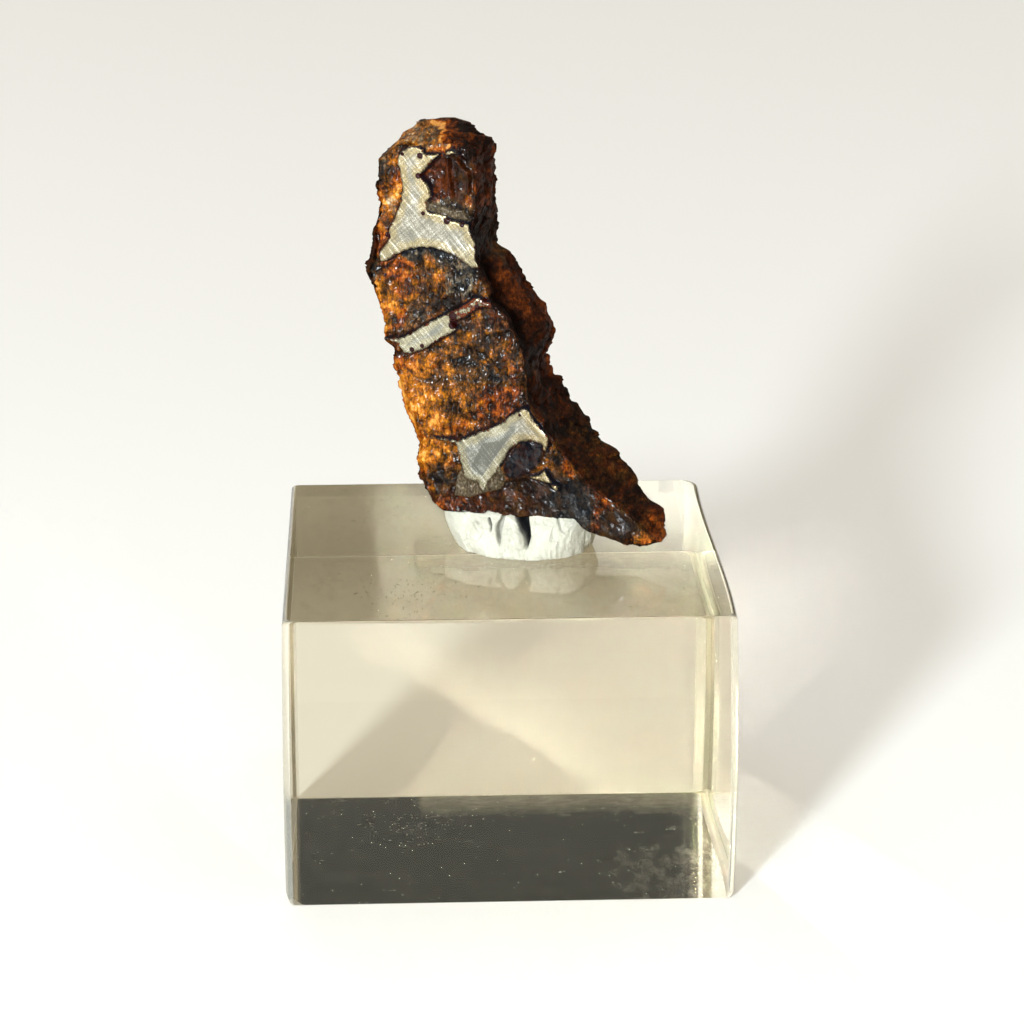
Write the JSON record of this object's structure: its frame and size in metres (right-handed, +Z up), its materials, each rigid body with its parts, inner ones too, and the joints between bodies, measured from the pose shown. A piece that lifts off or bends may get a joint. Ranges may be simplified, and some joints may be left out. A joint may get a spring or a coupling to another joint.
{
  "type": "pallasite meteorite slice on a display block",
  "caption": "Rusty fragment of a pallasite slice, bright metal in the cut face around brown olivine, stood in white putty on a clear acrylic block",
  "frame": {"origin": "middle of the block's underside", "axes": "+Z up, -Y towards the viewer that the cut face is shown to, +X to that viewer's right"},
  "size_m": [0.0302, 0.03, 0.0489],
  "materials": {
    "acrylic": "clear cast acrylic, faintly warm, polished",
    "meteorite": "rust and olivine under a glossy varnish, bright ground metal in the cut face",
    "putty": "matt white mounting putty"
  },
  "bodies": {
    "root": {"acrylic_block": "acrylic", "meteorite_slice": "meteorite", "putty_pad": "putty"}
  },
  "joints": []
}
